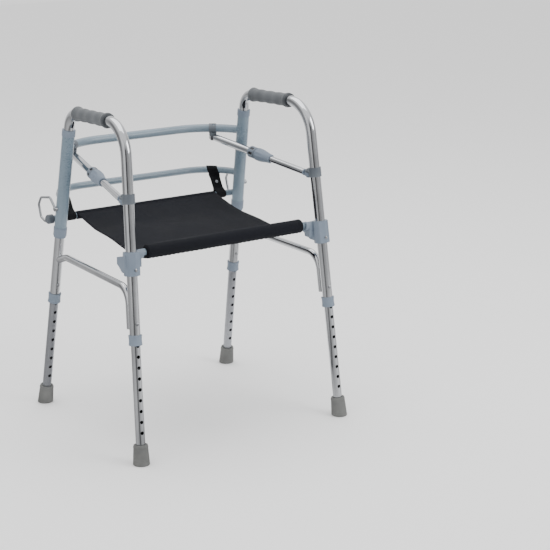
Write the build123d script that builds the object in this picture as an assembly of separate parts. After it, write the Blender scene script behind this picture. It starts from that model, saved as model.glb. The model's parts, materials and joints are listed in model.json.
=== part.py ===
from build123d import *
import math
import os

# Folding walking frame with a sling seat, in millimetres.
# +X is the user's right, +Y is to the back, +Z is up. The origin is on the floor, at the
# middle of the four feet. Every piece is drawn on the right and mirrored to the left.

# ---- Driving dimensions ----

# Stance: where the leg axes meet the floor, and how far they lean per millimetre of height
width = 550.8
depth = 505.6
front_toe_out = 9.2
rear_lean_in = 0.0357
rear_lean_forward = 0.1849
front_lean_in = 0.0415
front_lean_back = 0.124

# Side frame: a chromed tube bent into an upside-down U
crown_front_height = 774.5
crown_rear_height = 763.5
front_bend = 80.0
rear_bend = 45.0
frame_radius = 12.7
frame_wall = 1.4
frame_bottom = 280.0
stretcher_height = 404.0
stretcher_radius = 8.7
stretcher_bend = 42.0
stretcher_rear_drop = 16.0
stretcher_rear_run = 46.0
stretcher_end_height = 312.0
weld_sink = 0.4

# Legs that slide inside the side frame, their snap buttons, collars and feet
leg_radius = 11.0
leg_wall = 1.3
leg_bottom = 12.0
leg_top = 352.0
leg_slide_clearance = 0.08
button_height = 326.5
hole_pitch = 25.4
hole_radius = 4.2
hole_count = 11
button_radius = 3.9
button_stand = 3.4
collar_height = 24.0
collar_radius = 16.0
collar_waist = 0.9
collar_lip = 3.0
collar_bottom = frame_bottom - collar_lip
foot_height = 47.0
foot_top_radius = 16.5
foot_bottom_radius = 19.8

# Hinge: the rear of each side frame turns inside a sleeve of the back frame
sleeve_bottom = 474.5
sleeve_top = 705.5
sleeve_wall = 1.6
bush_wall = 0.8
hinge_clearance = 0.05
bush_depth = 30.0
top_bush_height = 15.0
bottom_bush_height = 21.0
bush_flange = 2.4
stop_height = 4.0
stop_radius = 15.0
stop_gap = 0.4

# Back frame: two bars that bow backwards
upper_bar_height = 666.0
upper_bar_radius = 10.5
upper_bar_bow = 95.0
upper_bar_run = 135.0
lower_bar_height = 550.0
lower_bar_radius = 8.8
lower_bar_bow = 97.5
lower_bar_run = 104.0
bar_wall = 1.5

# Grips
grip_length = 152.0
grip_front_gap = 80.0
grip_radius = 15.5
grip_flare = 3.0
grip_wave = 0.6
grip_ring_thickness = 4.0

# Braces: a telescoping stay on each side that locks the frame open
brace_anchor_x = 203.0
brace_anchor_drop = 22.5
brace_lug_height = 600.0
brace_lug_reach = 27.0
brace_outer_radius = 9.5
brace_inner_radius = 8.0
brace_wall = 1.2
brace_slide_clearance = 0.06
brace_ring_start = 144.0
brace_ring_length = 26.0
brace_ring_radius = 15.0
brace_lock_length = 50.0
brace_lock_radius = 16.0
brace_lock_end_radius = 11.5
brace_lock_seat = 10.0
brace_overlap = 50.0
brace_shoulder_gap = 2.5
brace_neck_radius = 3.5
brace_plug_length = 4.0
eye_radius = 9.5
eye_thickness = 9.0
eye_stem = 6.0
eye_plug_depth = 12.0
nut_height = 4.0
plate_thickness = 4.0
clip_wall = 2.4
clip_length = 20.0
bracket_wall = 1.8
bracket_length = 18.0
bracket_boss = 9.0
face_gap = 0.3
pin_radius = 3.0
pin_clearance = 0.05
bolt_head_radius = 6.0
bolt_head_height = 3.6

# Seat: a fabric sling between two rods
rod_radius = 8.0
rod_wall = 1.2
rear_rod_y = 190.0
rear_rod_height = 491.0
rear_rod_reach = 12.0
front_rod_height = 479.5
front_rod_behind_leg = 18.3
front_rod_sleeve_gap = 2.8
plug_length = 9.0
knob_radius = 11.5
knob_length = 17.0
hem_clearance = 0.35
front_hem_thickness = 8.3
rear_hem_thickness = 1.9
sling_thickness = 2.4
sling_front_margin = 40.1
sling_rear_margin = 55.0
strap_sleeve_gap = 7.0
strap_width = 28.0
strap_thickness = 2.2

# Seat clamps on the front legs, open towards the way the rod is lifted out
clamp_bottom = 436.0
clamp_top = 490.0
clamp_radius = 18.0
clamp_facets = 8
fin_reach = 55.0
outer_fin_reach = 34.0
fin_thickness = 9.0
cradle_wall = 4.2
cradle_clearance = 1.5
cradle_span = 20.0

# Wire hooks behind the sleeves, and the way the front rod is carried back onto them
hook_radius = 3.0
hook_stand = 5.0
rivet_rise = 32.0
stow_behind_rear_rod = 36.0
carry_rise = 63.0

os.makedirs("parts", exist_ok=True)


# ---- Lines that everything hangs on ----

def rear_leg(z):
    """Point of the right rear leg's axis, which is also the fold axis, at height z."""
    return Vector(width / 2 - rear_lean_in * z, depth / 2 - rear_lean_forward * z, z)


def front_leg(z):
    """Point of the right front leg's axis at height z."""
    return Vector(width / 2 + front_toe_out - front_lean_in * z, -depth / 2 + front_lean_back * z, z)


fold_direction = (rear_leg(1) - rear_leg(0)).normalized()
front_direction = (front_leg(1) - front_leg(0)).normalized()
sleeve_inner = frame_radius + hinge_clearance + bush_wall
sleeve_outer = sleeve_inner + sleeve_wall


def save(name, shape):
    """Write one node's solids to its own file."""
    export_step(shape, f"parts/{name}.step")


def save_pair(name, *right):
    """Write a piece of the right side, and its mirror image for the left."""
    left = [solid.mirror(Plane.YZ) for solid in right]
    save(f"{name}_right", right[0] if len(right) == 1 else Compound(children=right))
    save(f"{name}_left", left[0] if len(left) == 1 else Compound(children=left))


def both_sides(*right):
    """The given right-hand solids and their mirror images, as one group."""
    return Compound(children=[*right, *[solid.mirror(Plane.YZ) for solid in right]])


# ---- Basic solids ----

def rod(start, end, radius):
    """Solid round bar between two points."""
    run = end - start
    return Solid.make_cylinder(radius, run.length, Plane(origin=start, z_dir=run))


def tube(start, end, outer, inner):
    """Straight tube between two points."""
    reach = (end - start).normalized() * 5
    return rod(start, end, outer) - rod(start - reach, end + reach, inner)


def bent(path, radius):
    """Round bar along a bent path."""
    section = Plane(origin=path @ 0, z_dir=path % 0) * Circle(radius)
    return sweep(section, path=path)


def turned(start, direction, profile):
    """Solid of revolution: profile lists (distance along the axis, radius), closed on the axis."""
    frame = Plane(origin=start, z_dir=direction)
    points = [(0, profile[0][0]), *[(radius, along) for along, radius in profile], (0, profile[-1][0])]
    outline = Plane(origin=frame.origin, x_dir=frame.x_dir, z_dir=-frame.y_dir) * Polyline(*points, close=True)
    return revolve(make_face(outline), axis=Axis(frame.origin, frame.z_dir))


def one(shape):
    """The single solid of a shape."""
    return shape.solids()[0]


# ---- Side frame ----

crown_front = front_leg(crown_front_height)
crown_rear = rear_leg(crown_rear_height)
crown_direction = (crown_rear - crown_front).normalized()


def side_path():
    """Axis of the side tube: up the front leg, back along the crown, down the rear leg."""
    corners = [front_leg(frame_bottom), crown_front, crown_rear, rear_leg(frame_bottom)]
    return FilletPolyline(*corners, radius=[front_bend, rear_bend])


def facing(direction):
    """Way that a leg's button and holes face: to the front, square to the leg's axis."""
    ahead = Vector(0, -1, 0)
    return (ahead - direction * ahead.dot(direction)).normalized()


def button_hole(point, direction, length):
    """Short bar for drilling a button's hole from a point of a leg's axis."""
    return rod(point, point + facing(direction) * length, hole_radius)


def side_tube():
    """Bent tube with a button hole in the front of each leg."""
    path = side_path()
    solid = bent(path, frame_radius) - bent(path, frame_radius - frame_wall)
    for leg, direction in ((front_leg, front_direction), (rear_leg, fold_direction)):
        solid -= button_hole(leg(button_height), direction, 2 * frame_radius)
    return one(solid)


def stretcher():
    """Low side bar: welded to the rear leg, level, then bent down beside the front leg."""
    beside = frame_radius + stretcher_radius - weld_sink
    back = (crown_rear - crown_front).cross(Vector(0, 0, 1)).cross(front_direction)
    back = -back.normalized() if back.Y > 0 else back.normalized()
    beside_line = [front_leg(z) - back * beside for z in (stretcher_end_height, stretcher_height)]
    level = rear_leg(stretcher_height) - Vector(0, stretcher_rear_run, 0)
    low = rear_leg(stretcher_height - stretcher_rear_drop)
    path = FilletPolyline(low, level, beside_line[1], beside_line[0], radius=[stretcher_bend, stretcher_bend])
    solid = bent(path, stretcher_radius)
    solid -= rod(rear_leg(stretcher_height - 60), rear_leg(stretcher_height + 60), frame_radius)
    solid -= rod(front_leg(stretcher_end_height - 40), front_leg(stretcher_height + 60), frame_radius)
    return max(solid.solids(), key=lambda s: s.volume)


def leg_collar(leg, direction):
    """Plastic collar on the end of a side tube, with a lip that guides the sliding leg."""
    base = leg(collar_bottom)
    steps = 6
    profile = [(0, collar_radius - 0.8), (0.8, collar_radius)]
    for i in range(1, steps):
        share = i / steps
        waist = collar_waist * math.sin(math.pi * share)
        profile.append((collar_height * share, collar_radius - waist))
    profile += [(collar_height - 0.8, collar_radius), (collar_height, collar_radius - 0.8)]
    solid = turned(base, direction, profile)
    solid -= rod(leg(frame_bottom), leg(collar_bottom + 2 * collar_height), frame_radius)
    solid -= rod(leg(collar_bottom - 20), leg(collar_bottom + 20), leg_radius + leg_slide_clearance)
    return one(solid)


def leg_tube(leg, direction):
    """Sliding leg with a row of button holes at an even pitch."""
    solid = tube(leg(leg_bottom), leg(leg_top), leg_radius, leg_radius - leg_wall)
    for i in range(hole_count):
        solid -= button_hole(leg(button_height) - direction * (hole_pitch * i), direction, 2 * leg_radius)
    return one(solid)


def foot(leg, direction):
    """Rubber foot on the end of a leg, cut flat where it stands on the floor."""
    profile = [(-20, foot_bottom_radius + 1.4), (0, foot_bottom_radius), (6, foot_bottom_radius - 0.3)]
    profile += [(foot_height - 3, foot_top_radius), (foot_height, foot_top_radius - 2)]
    solid = turned(leg(0), direction, profile)
    solid -= rod(leg(leg_bottom), leg(foot_height + 30), leg_radius)
    return one(solid.split(Plane.XY, keep=Keep.TOP))


def snap_button(leg, direction):
    """Domed button in the side tube's hole; its stem stops short of the sliding leg."""
    out = facing(direction)
    base = leg(button_height) + out * (leg_radius + face_gap)
    length = frame_radius - leg_radius - face_gap + button_stand
    profile = [(0, button_radius), (length - 1.6, button_radius), (length - 0.6, button_radius * 0.8)]
    profile.append((length, button_radius * 0.4))
    return one(turned(base, out, profile))


# ---- Grip ----

def grip_solid():
    """Soft grip on the crown: flared ends, shallow finger waves and a bore for the tube."""
    start = crown_front + crown_direction * grip_front_gap
    profile = []
    steps = 19
    for i in range(steps + 1):
        share = i / steps
        end_swell = grip_flare * (abs(2 * share - 1) ** 6)
        wave = grip_wave * math.cos(8 * math.pi * share) * (1 - abs(2 * share - 1) ** 6)
        profile.append((grip_length * share, grip_radius + end_swell + wave))
    solid = turned(start, crown_direction, profile)
    bore_end = start + crown_direction * (grip_length + 5)
    return one(solid - rod(start - crown_direction * 5, bore_end, frame_radius))


def grip_ring():
    """Dark ring that closes the front end of the grip."""
    end = crown_front + crown_direction * grip_front_gap
    start = end - crown_direction * grip_ring_thickness
    return one(tube(start, end, grip_radius + grip_flare - 1.5, frame_radius))


# ---- Back frame ----

def bar_path(height, bow, run):
    """Axis of a back bar: an arc out of each sleeve, joined by a straight middle."""
    end = rear_leg(height)
    turn = 2 * math.atan2(bow, run)
    bend = run / math.sin(turn)
    straight = end.X - run
    middle_y = end.Y + bow
    side = RadiusArc((-end.X, end.Y, height), (-straight, middle_y, height), bend)
    centre = Line((-straight, middle_y, height), (straight, middle_y, height))
    other = RadiusArc((straight, middle_y, height), (end.X, end.Y, height), bend)
    return Wire([side.edge(), centre.edge(), other.edge()])


def bar_point(height, bow, run, x):
    """Point of a back bar's axis at the given X, on its right-hand arc."""
    end = rear_leg(height)
    turn = 2 * math.atan2(bow, run)
    bend = run / math.sin(turn)
    offset = x - (end.X - run)
    return Vector(x, end.Y + bow - bend + math.sqrt(bend**2 - offset**2), height)


def bar_tangent(height, bow, run, x):
    """Direction of a back bar's axis at the given X, on its right-hand arc."""
    step = bar_point(height, bow, run, x + 0.5) - bar_point(height, bow, run, x - 0.5)
    return step.normalized()


def bar_core(height, bow, run, radius):
    """Bar of the given radius along a back bar's axis, for making it and for cutting what fits round it."""
    return bent(bar_path(height, bow, run), radius)


def back_bar(height, bow, run, radius):
    """Bowed tube between the sleeves, its ends cut to the sleeves' round walls."""
    solid = bar_core(height, bow, run, radius) - bar_core(height, bow, run, radius - bar_wall)
    for side in (1, -1):
        cutter = rod(rear_leg(height - 80), rear_leg(height + 80), sleeve_outer)
        solid -= cutter if side > 0 else cutter.mirror(Plane.YZ)
    return max(solid.solids(), key=lambda s: s.volume)


def hinge_sleeve():
    """Painted tube that the rear of the side frame turns in."""
    return one(tube(rear_leg(sleeve_bottom), rear_leg(sleeve_top), sleeve_outer, sleeve_inner))


def hinge_bushes():
    """Nylon bushes with flanges that close both ends of a sleeve."""
    bore = frame_radius + hinge_clearance
    flange = sleeve_outer + bush_flange / 2
    pieces = []
    for z, out, height in ((sleeve_top, 1, top_bush_height), (sleeve_bottom, -1, bottom_bush_height)):
        edge = rear_leg(z)
        far = edge + fold_direction * (out * height)
        liner = edge - fold_direction * (out * bush_depth)
        solid = rod(edge, far, flange) + rod(liner, edge, sleeve_inner)
        solid -= rod(liner - fold_direction * (out * 5), far + fold_direction * (out * 5), bore)
        pieces.append(one(solid))
    return pieces


def stop_ring():
    """Ring fixed on the side tube, which the lower bush rests on."""
    top = rear_leg(sleeve_bottom) - fold_direction * (bottom_bush_height + stop_gap)
    return one(tube(top - fold_direction * stop_height, top, stop_radius, frame_radius))


# ---- Braces ----

def upper_bar_at(x):
    """Point of the upper bar's axis at the given X."""
    return bar_point(upper_bar_height, upper_bar_bow, upper_bar_run, x)


upper_bar_core = bar_core(upper_bar_height, upper_bar_bow, upper_bar_run, upper_bar_radius)
brace_start = upper_bar_at(brace_anchor_x) - Vector(0, 0, brace_anchor_drop)
side_forward = (front_leg(brace_lug_height) - rear_leg(brace_lug_height)).normalized()
brace_end = front_leg(brace_lug_height) - side_forward * brace_lug_reach
brace_direction = (brace_end - brace_start).normalized()
brace_length = (brace_end - brace_start).length
lock_start = brace_ring_start + brace_ring_length + 1.0
outer_end = lock_start + brace_lock_seat


def along_brace(distance):
    """Point of the brace's axis at a distance from its rear pivot."""
    return brace_start + brace_direction * distance


def eye(centre):
    """Flat round eye of a brace, about the pivot through centre."""
    half = fold_direction * (eye_thickness / 2)
    return rod(centre - half, centre + half, eye_radius)


def brace_outer():
    """Rear tube of a brace, with the flat eye that turns on the back frame's bolt."""
    inner = brace_inner_radius + brace_slide_clearance
    shoulder = eye_radius + brace_shoulder_gap
    plug_end = shoulder + brace_plug_length
    solid = tube(along_brace(shoulder), along_brace(outer_end), brace_outer_radius, inner)
    solid += rod(brace_start, along_brace(plug_end), brace_neck_radius)
    solid += rod(along_brace(shoulder), along_brace(plug_end), brace_outer_radius)
    solid += eye(brace_start)
    pin = pin_radius + pin_clearance
    solid -= rod(brace_start - fold_direction * 30, brace_start + fold_direction * 30, pin)
    return max(solid.solids(), key=lambda s: s.volume)


def brace_lock():
    """Tapered lock housing fixed on the end of the outer tube."""
    profile = [(0, brace_lock_radius - 1), (1, brace_lock_radius), (14, brace_lock_radius)]
    profile += [(brace_lock_length - 4, brace_lock_end_radius), (brace_lock_length, brace_lock_end_radius - 1)]
    solid = turned(along_brace(lock_start), brace_direction, profile)
    solid -= rod(along_brace(lock_start - 5), along_brace(outer_end), brace_outer_radius)
    inner = brace_inner_radius + brace_slide_clearance
    solid -= rod(along_brace(lock_start), along_brace(lock_start + brace_lock_length + 5), inner)
    return one(solid)


def brace_ring():
    """Release ring that slides back along the outer tube."""
    profile = [(0, brace_ring_radius - 3), (3, brace_ring_radius), (brace_ring_length - 3, brace_ring_radius)]
    profile.append((brace_ring_length, brace_ring_radius - 1.5))
    solid = turned(along_brace(brace_ring_start), brace_direction, profile)
    bore = brace_outer_radius + brace_slide_clearance
    far = along_brace(brace_ring_start + brace_ring_length + 5)
    return one(solid - rod(along_brace(brace_ring_start - 5), far, bore))


def brace_inner():
    """Front tube of a brace, which slides inside the outer tube."""
    start = along_brace(outer_end - brace_overlap)
    end = along_brace(brace_length - eye_radius - eye_stem)
    return one(tube(start, end, brace_inner_radius, brace_inner_radius - brace_wall))


def brace_tip():
    """Flat eye in the end of the inner tube, with the nut under it."""
    shoulder = along_brace(brace_length - eye_radius - eye_stem)
    solid = rod(shoulder, along_brace(brace_length), eye_thickness / 2)
    solid += rod(shoulder, shoulder + brace_direction * brace_plug_length, brace_inner_radius)
    solid += rod(shoulder - brace_direction * eye_plug_depth, shoulder, brace_inner_radius - brace_wall)
    solid += eye(brace_end)
    below = brace_end - fold_direction * (eye_thickness / 2)
    solid += rod(below - fold_direction * nut_height, below, bolt_head_radius)
    return one(solid)


def brace_lug():
    """Clip round the front leg whose plate lies over the brace's front eye."""
    under = eye_thickness / 2 + face_gap
    low = brace_end + fold_direction * under
    plate = rod(low, low + fold_direction * plate_thickness, eye_radius)
    base = front_leg(brace_lug_height) + fold_direction * under
    middle = (base + low) * 0.5 + fold_direction * (plate_thickness / 2)
    frame = Plane(origin=middle, x_dir=base - low, z_dir=fold_direction)
    plate += frame * Box((base - low).length, 2 * eye_radius, plate_thickness)
    clip_low = front_leg(brace_lug_height - clip_wall)
    clip_high = front_leg(brace_lug_height + clip_length)
    solid = plate + rod(clip_low, clip_high, frame_radius + clip_wall)
    reach = front_direction * 40
    solid -= rod(clip_low - reach, clip_high + reach, frame_radius)
    top = low + fold_direction * plate_thickness
    solid += rod(top, top + fold_direction * bolt_head_height, bolt_head_radius)
    return max(solid.solids(), key=lambda s: s.volume)


def brace_bracket():
    """Clip round the upper bar with a plate under it that carries the brace's rear bolt."""
    bar = upper_bar_at(brace_anchor_x)
    tangent = bar_tangent(upper_bar_height, upper_bar_bow, upper_bar_run, brace_anchor_x)
    low = brace_start + fold_direction * (eye_thickness / 2 + face_gap)
    half = tangent * (bracket_length / 2)
    solid = rod(bar - half, bar + half, upper_bar_radius + bracket_wall)
    solid += rod(low, low + fold_direction * bracket_boss, eye_radius)
    solid -= upper_bar_core
    solid -= rod(brace_start - fold_direction * 40, brace_start + fold_direction * 40, pin_radius)
    return max(solid.solids(), key=lambda s: s.volume)


def brace_bolt():
    """Shouldered bolt, head down, that a brace's rear eye turns on."""
    under = brace_start - fold_direction * (eye_thickness / 2 + face_gap)
    head = rod(under - fold_direction * bolt_head_height, under, bolt_head_radius)
    shank = rod(under, brace_start + fold_direction * (eye_thickness / 2 + bracket_boss - 1), pin_radius)
    return one(head + shank - upper_bar_core)


# ---- Seat ----

front_rod_y = front_leg(front_rod_height).Y + front_rod_behind_leg
stow_y = rear_rod_y + stow_behind_rear_rod
stow_height = rear_rod_height
carry_chord = Vector(0, stow_y - front_rod_y, stow_height - front_rod_height)
carry_radius = ((carry_chord.length / 2) ** 2 + carry_rise**2) / (2 * carry_rise)
rod_half = rear_leg(stow_height + carry_rise).X - sleeve_outer - front_rod_sleeve_gap


def front_rod_point(x):
    """Point of the front rod's axis at the given X."""
    return Vector(x, front_rod_y, front_rod_height)


def rear_rod_point(x):
    """Point of the rear rod's axis at the given X."""
    return Vector(x, rear_rod_y, rear_rod_height)


def carry_pivot():
    """Centre of the arc on which the front rod is carried back to the hooks."""
    middle = (front_rod_point(0) + Vector(0, stow_y, stow_height)) * 0.5
    down = Vector(1, 0, 0).cross(carry_chord).normalized()
    down = down if down.Z < 0 else -down
    return middle + down * (carry_radius - carry_rise)


def lift_direction():
    """The way the front rod leaves its cradles."""
    arm = front_rod_point(0) - carry_pivot()
    way = Vector(-1, 0, 0).cross(arm).normalized()
    return way if way.Y > 0 else -way


def front_rod():
    """Seat tube that drops into the clamps' cradles."""
    half = rod_half - plug_length
    return one(tube(front_rod_point(-half), front_rod_point(half), rod_radius, rod_radius - rod_wall))


def front_plug():
    """Plastic plug in the right end of the front rod, with a domed end."""
    start = front_rod_point(rod_half - plug_length)
    out = Vector(1, 0, 0)
    profile = [(0, rod_radius), (plug_length - 2, rod_radius), (plug_length, rod_radius - 2)]
    return one(turned(start, out, profile) + rod(start - out * 12, start, rod_radius - rod_wall))


rear_rod_half = rear_leg(rear_rod_height).X + rear_rod_reach


def rear_rod():
    """Seat tube that lies behind the sleeves."""
    ends = rear_rod_point(-rear_rod_half), rear_rod_point(rear_rod_half)
    return one(tube(*ends, rod_radius, rod_radius - rod_wall))


def rear_knob():
    """Knob on the right end of the rear rod, which also holds the wire hook."""
    start = rear_rod_point(rear_rod_half - 4)
    out = Vector(1, 0, 0)
    profile = [(0, knob_radius - 1), (1, knob_radius), (knob_length - 3, knob_radius)]
    profile.append((knob_length, knob_radius - 3))
    solid = turned(start, out, profile)
    return one(solid - rod(start - out * 5, rear_rod_point(rear_rod_half), rod_radius))


hook_x = rear_leg(rear_rod_height).X + rear_rod_reach + hook_stand
rivet_height = rear_rod_height + rivet_rise


def hook_wire():
    """Bent wire from the sleeve's rivet, round behind it and down to the rear rod's knob."""
    eye_point = rear_leg(rivet_height)
    bends = [(-6, 56), (42, 47), (56, 27), (46, -3), (23, -10), (0, 0)]
    points = [Vector(hook_x, eye_point.Y, rivet_height)]
    points += [rear_rod_point(hook_x) + Vector(0, behind, above) for behind, above in bends]
    path = FilletPolyline(*points, radius=[8, 10, 10, 8, 10])
    solid = bent(path, hook_radius)
    wall = rear_leg(rivet_height).X + sleeve_outer
    solid += rod(Vector(wall, eye_point.Y, rivet_height), Vector(hook_x + 3, eye_point.Y, rivet_height), 6.0)
    solid -= rod(rear_leg(rivet_height - 60), rear_leg(rivet_height + 60), sleeve_outer)
    solid -= rod(rear_rod_point(hook_x - 40), rear_rod_point(hook_x + 40), knob_radius)
    return max(solid.solids(), key=lambda s: s.volume)


hem_inner = rod_radius + hem_clearance
front_hem_outer = hem_inner + front_hem_thickness
rear_hem_outer = hem_inner + rear_hem_thickness
sling_front_half = rear_leg(front_rod_height).X - sling_front_margin
sling_rear_half = rear_leg(rear_rod_height).X - sling_rear_margin


def sling():
    """Fabric seat: a sheet from under the padded front hem to the top of the rear one."""
    front = front_rod_point(0) - Vector(0, 0, front_hem_outer)
    rear = rear_rod_point(0) + Vector(0, 0, rear_hem_outer - sling_thickness)
    run = rear - front
    frame = Plane(origin=front, x_dir=(1, 0, 0), z_dir=Vector(1, 0, 0).cross(run))
    reach = run.length
    outline = [(-sling_front_half, 0), (sling_front_half, 0), (sling_rear_half, reach), (-sling_rear_half, reach)]
    sheet = extrude(frame * make_face(Polyline(*outline, close=True)), amount=sling_thickness)
    solid = sheet + rod(front_rod_point(-sling_front_half), front_rod_point(sling_front_half), front_hem_outer)
    solid += rod(rear_rod_point(-sling_rear_half), rear_rod_point(sling_rear_half), rear_hem_outer)
    solid -= rod(front_rod_point(-width), front_rod_point(width), hem_inner)
    solid -= rod(rear_rod_point(-width), rear_rod_point(width), hem_inner)
    return max(solid.solids(), key=lambda s: s.volume)


def lower_bar_at(x):
    """Point of the lower bar's axis at the given X."""
    return bar_point(lower_bar_height, lower_bar_bow, lower_bar_run, x)


strap_x = rear_leg(lower_bar_height).X - sleeve_outer - strap_sleeve_gap - strap_width / 2


def strap():
    """Webbing strap looped round the lower bar and the rear seat rod."""
    top = lower_bar_at(strap_x)
    tangent = bar_tangent(lower_bar_height, lower_bar_bow, lower_bar_run, strap_x)
    half = strap_width / 2
    bar_hole = lower_bar_radius + face_gap
    rod_hole = rod_radius + face_gap
    bottom = rear_rod_point(strap_x)
    middle = (top + bottom) * 0.5
    up = top - bottom
    frame = Plane(origin=middle, x_dir=(1, 0, 0), z_dir=Vector(1, 0, 0).cross(up))
    solid = frame * Box(strap_width, up.length, 2 * strap_thickness)
    solid += rod(top - tangent * half, top + tangent * half, bar_hole + strap_thickness)
    ends = rear_rod_point(strap_x - half), rear_rod_point(strap_x + half)
    solid += rod(*ends, rod_hole + strap_thickness)
    solid -= bar_core(lower_bar_height, lower_bar_bow, lower_bar_run, bar_hole)
    solid -= rod(rear_rod_point(0), rear_rod_point(width), rod_hole)
    return max(solid.solids(), key=lambda s: s.volume)


def strap_rivet():
    """Domed rivet through the middle of a strap."""
    top = lower_bar_at(strap_x)
    bottom = rear_rod_point(strap_x)
    face = Vector(1, 0, 0).cross(top - bottom).normalized()
    face = face if face.Y < 0 else -face
    start = (top + bottom) * 0.5 + face * strap_thickness
    return one(turned(start, face, [(0, 4.5), (1.2, 4.0), (2.0, 2.0)]))


# ---- Seat clamp ----

def seat_clamp():
    """Moulded clamp on the front leg, with two fins behind it and an open cradle for the rod."""
    middle = front_leg((clamp_bottom + clamp_top) / 2)
    frame = Plane(origin=middle, x_dir=(1, 0, 0), z_dir=front_direction)
    shell = extrude(frame * RegularPolygon(clamp_radius, clamp_facets, major_radius=False),
                    amount=(clamp_top - clamp_bottom) / 2, both=True)
    leg_x = middle.X
    leg_y = front_leg(front_rod_height).Y
    rod_y = front_rod_y
    top = front_rod_height + 4
    inner_face = rod_half - cradle_span / 2
    fin_x = leg_x - clamp_radius
    low = clamp_bottom + 6
    fins = []
    for x, reach in ((fin_x, fin_reach), (leg_x + clamp_radius - fin_thickness, outer_fin_reach)):
        outline = [(leg_y - 6, top), (leg_y + reach, front_rod_height - 6), (leg_y + reach, top - 26)]
        outline += [(leg_y + reach * 0.72, low + 10), (leg_y + reach * 0.35, low), (leg_y - 10, low)]
        face = make_face(Polyline(*[Vector(x, y, z) for y, z in outline], close=True))
        fins.append(extrude(face, amount=fin_thickness, dir=(1, 0, 0)))
    cup = rod_radius + cradle_clearance + cradle_wall
    cradle = rod(Vector(inner_face, rod_y, front_rod_height), Vector(fin_x + 1, rod_y, front_rod_height), cup)
    web_points = [(rod_y - cup, front_rod_height), (rod_y + cup, front_rod_height), (rod_y + 6, low + 8)]
    web_points.append((rod_y - cup, low + 8))
    web_face = make_face(Polyline(*[Vector(inner_face + 8, y, z) for y, z in web_points], close=True))
    web = extrude(web_face, amount=fin_x + 1 - inner_face - 8, dir=(1, 0, 0))
    solid = shell + fins[0] + fins[1] + cradle + web
    solid -= rod(front_leg(clamp_bottom - 40), front_leg(clamp_top + 40), frame_radius)
    channel = rod_radius + cradle_clearance
    way = lift_direction()
    slot_end = fin_x + fin_thickness - 5
    start = Vector(inner_face - 10, rod_y, front_rod_height)
    solid -= rod(start, Vector(slot_end, rod_y, front_rod_height), channel)
    slot_frame = Plane(origin=start, x_dir=(1, 0, 0), z_dir=Vector(1, 0, 0).cross(way))
    slot_length = slot_end - inner_face + 10
    mouth = slot_frame * Pos(slot_length / 2, 40, 0) * Box(slot_length, 80, 2 * channel)
    solid -= mouth
    above = Vector(inner_face - 10, rod_y - channel, front_rod_height)
    clear = Pos(above.X + slot_length / 2, rod_y + 20, front_rod_height + 29)
    solid -= clear * Box(slot_length, 40 + 2 * channel, 50)
    return max(solid.solids(), key=lambda s: s.volume)


def clamp_screw():
    """Cross-head screw that closes the seat clamp round the leg."""
    z = clamp_bottom + 16
    centre = front_leg(z)
    start = centre + Vector(0, -clamp_radius - 1, 0)
    screw = turned(start, Vector(0, -1, 0), [(-3, 4.2), (1.2, 3.8), (2.0, 2.4)]) - seat_clamp()
    return max(screw.solids(), key=lambda s: s.volume)


def sleeve_rivet():
    """Domed rivet that fixes the wire hook's eye to the sleeve."""
    start = Vector(hook_x + 3, rear_leg(rivet_height).Y, rivet_height)
    return one(turned(start, Vector(1, 0, 0), [(0, 5.0), (1.4, 4.4), (2.4, 2.0)]))


# ---- Write every node ----

save("upper_back_bar", back_bar(upper_bar_height, upper_bar_bow, upper_bar_run, upper_bar_radius))
save("lower_back_bar", back_bar(lower_bar_height, lower_bar_bow, lower_bar_run, lower_bar_radius))
save_pair("hinge_sleeve", hinge_sleeve())
save_pair("hinge_bushes", *hinge_bushes())
save_pair("stop_ring", stop_ring())
save("brace_brackets", both_sides(brace_bracket()))
save("brace_bolts", both_sides(brace_bolt()))
save("rear_seat_rod", rear_rod())
save("rear_rod_knobs", both_sides(rear_knob()))
save("rod_hooks", both_sides(hook_wire()))
save("hook_rivets", both_sides(sleeve_rivet()))
save("seat_sling", sling())
save("seat_straps", both_sides(strap()))
save("strap_rivets", both_sides(strap_rivet()))
save("front_seat_rod", front_rod())
save("front_rod_plugs", both_sides(front_plug()))

save_pair("side_tube", side_tube())
for end, leg, direction in (("front", front_leg, front_direction), ("rear", rear_leg, fold_direction)):
    save_pair(f"leg_{end}", leg_tube(leg, direction))
    save_pair(f"snap_button_{end}", snap_button(leg, direction))
    save_pair(f"foot_{end}", foot(leg, direction))
save_pair("leg_collars", leg_collar(front_leg, front_direction), leg_collar(rear_leg, fold_direction))
save_pair("stretcher", stretcher())
save_pair("grip", grip_solid())
save_pair("grip_ring", grip_ring())
save_pair("seat_clamp", seat_clamp())
save_pair("clamp_screw", clamp_screw())
save_pair("brace_lug", brace_lug())
save_pair("brace_outer", brace_outer())
save_pair("brace_lock", brace_lock())
save_pair("brace_release_ring", brace_ring())
save_pair("brace_inner", brace_inner())
save_pair("brace_tip", brace_tip())
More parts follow.
